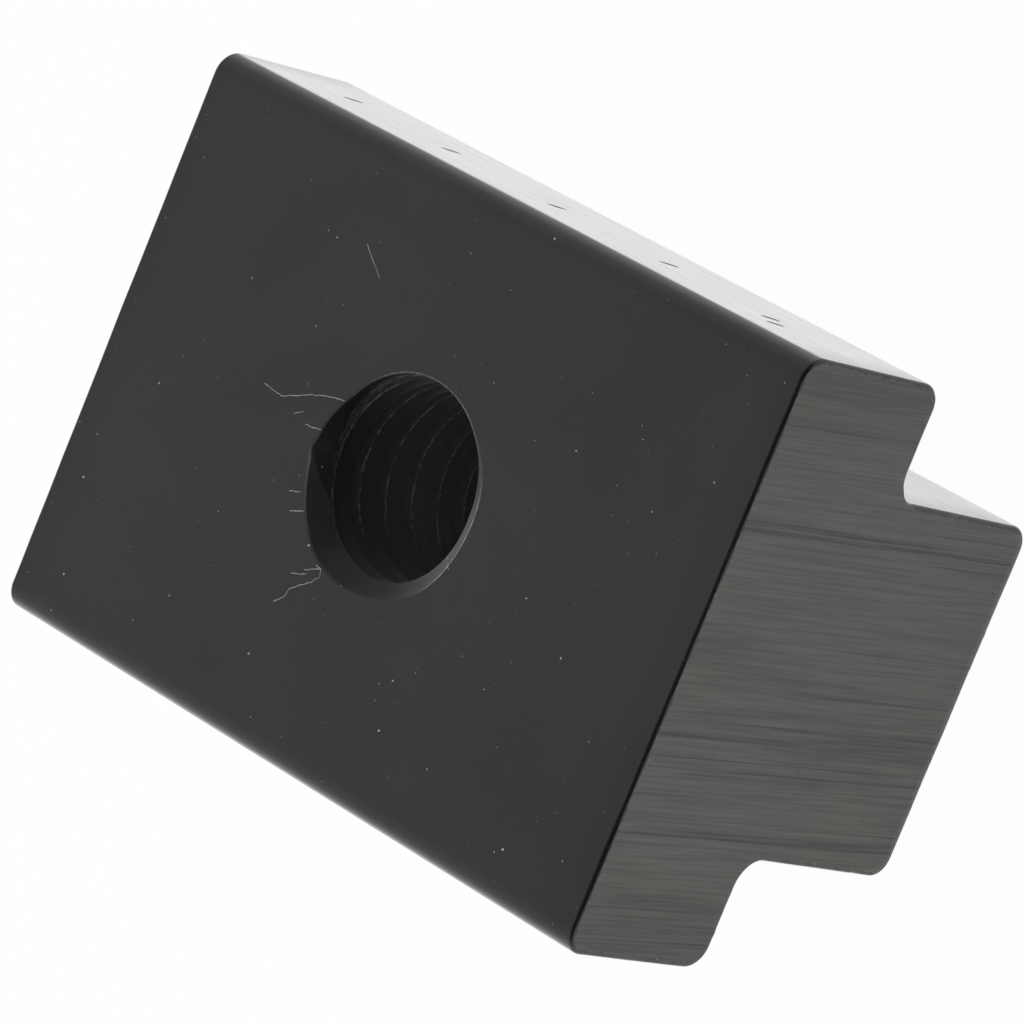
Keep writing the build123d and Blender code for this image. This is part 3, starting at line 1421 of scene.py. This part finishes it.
def add_camera(stage):
    """The camera, turned about its line of sight."""
    data = bpy.data.cameras.new("camera")
    data.lens = stage.lens
    data.sensor_width = 36.0
    data.clip_start = 0.01
    data.clip_end = 20.0
    made = new_object("camera", data)
    back = way_to_camera(stage)
    made.location = Vector(stage.aim) + back * stage.distance
    made.rotation_mode = "QUATERNION"
    turned = Matrix.Rotation(stage.roll, 3, "Z").to_quaternion()
    made.rotation_quaternion = (-back).to_track_quat("-Z", "Y") @ turned
    bpy.context.scene.camera = made


# ---- Operators ----


class TNUT_OT_body(bpy.types.Operator):
    """Builds the nut: the T bar, its tapped hole and its handling nicks"""

    bl_idname = "t_nut.body"
    bl_label = "Nut Body"

    def execute(self, context):
        scene = context.scene
        sizes = scene.t_nut_sizes
        thread = scene.t_nut_thread
        body = new_object("nut", make_bar(sizes))
        cutters = make_nicks(sizes)
        cutters.append(make_countersink(thread, sizes.height - sizes.dust_room, 1))
        cutters.append(make_countersink(thread, sizes.dust_room, -1))
        cutters.append(make_tap(thread))
        subtract(body, cutters)
        if len(body.data.polygons) < FEWEST_FACES:
            raise RuntimeError("the tapped hole was not cut")
        finish = scene.t_nut_finish
        body.data.materials.clear()
        for material in (skin_material(finish), sawn_material(finish), bore_material(finish, thread)):
            body.data.materials.append(material)
        sort_faces(body.data, sizes, thread)
        even_shading(body)
        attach(body, "root")
        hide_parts("nut_body")
        return {"FINISHED"}


class TNUT_OT_dust(bpy.types.Operator):
    """Strews dust specks and lint over the nut"""

    bl_idname = "t_nut.dust"
    bl_label = "Dust and Lint"

    def execute(self, context):
        scene = context.scene
        dust = scene.t_nut_dust
        sizes = scene.t_nut_sizes
        body = bpy.data.objects.get("nut")
        if body is None:
            raise RuntimeError("build the nut before its dust")
        material = dust_material(dust)
        specks = new_object("dust_specks", body.data.copy())
        modifier = specks.modifiers.new("Strewn Specks", "NODES")
        modifier.node_group = speck_tree()
        set_inputs(
            modifier,
            {
                "Density": dust.speck_density / MM**2,
                "Size": dust.speck_size,
                "Seed": dust.seed,
                "Low Corner": nut_low,
                "High Corner": nut_high,
                "Material": material,
            },
        )
        settle(specks)
        # the fibres are sunk a little into the face, so that their tops stay inside the size
        sunk = 0.004 * MM
        lint = new_object("lint", make_lint(dust, sizes.height - sizes.dust_room - sunk))
        lint.data.materials.append(material)
        for piece in (specks, lint):
            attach(piece, "root")
        return {"FINISHED"}


class TNUT_OT_stage(bpy.types.Operator):
    """Sets the floor, the light and the camera"""

    bl_idname = "t_nut.stage"
    bl_label = "Studio"

    def execute(self, context):
        stage = context.scene.t_nut_stage
        bm = bmesh.new()
        half_floor = 4.0
        bmesh.ops.create_grid(bm, x_segments=1, y_segments=1, size=half_floor)
        floor = new_object("floor", mesh_from("floor", bm))
        floor.data.materials.append(floor_material(stage))
        make_world(stage)
        add_softbox("softbox_high", place=(-0.25, -0.10, 0.45), target=(0, 0, 0), size=0.40, power=1.6)
        add_camera(stage)
        context.scene.view_settings.view_transform = "Standard"
        return {"FINISHED"}


class TNUT_PT_panel(bpy.types.Panel):
    """The nut's settings and operators"""

    bl_idname = "TNUT_PT_panel"
    bl_label = "T-Slot Nut"
    bl_space_type = "VIEW_3D"
    bl_region_type = "UI"
    bl_category = "T-Slot Nut"

    def draw(self, context):
        steps = (
            (TNUT_OT_body, ("t_nut_sizes", "t_nut_thread", "t_nut_finish")),
            (TNUT_OT_dust, ("t_nut_dust",)),
            (TNUT_OT_stage, ("t_nut_stage",)),
        )
        for operator, groups in steps:
            box = self.layout.box()
            for name in groups:
                settings = getattr(context.scene, name)
                for key in settings.__annotations__:
                    box.prop(settings, key)
            box.operator(operator.bl_idname)


CLASSES = (*SETTINGS.values(), TNUT_OT_body, TNUT_OT_dust, TNUT_OT_stage, TNUT_PT_panel)


def register():
    """Adds the classes and their settings."""
    for made in CLASSES:
        bpy.utils.register_class(made)
    for name, group in SETTINGS.items():
        setattr(bpy.types.Scene, name, PointerProperty(type=group))


def unregister():
    """Takes them away again."""
    for name in SETTINGS:
        delattr(bpy.types.Scene, name)
    for made in reversed(CLASSES):
        bpy.utils.unregister_class(made)


def main():
    """Builds the nut, its dust and the studio."""
    register()
    bpy.ops.t_nut.body()
    bpy.ops.t_nut.dust()
    bpy.ops.t_nut.stage()


if __name__ == "__main__":
    main()
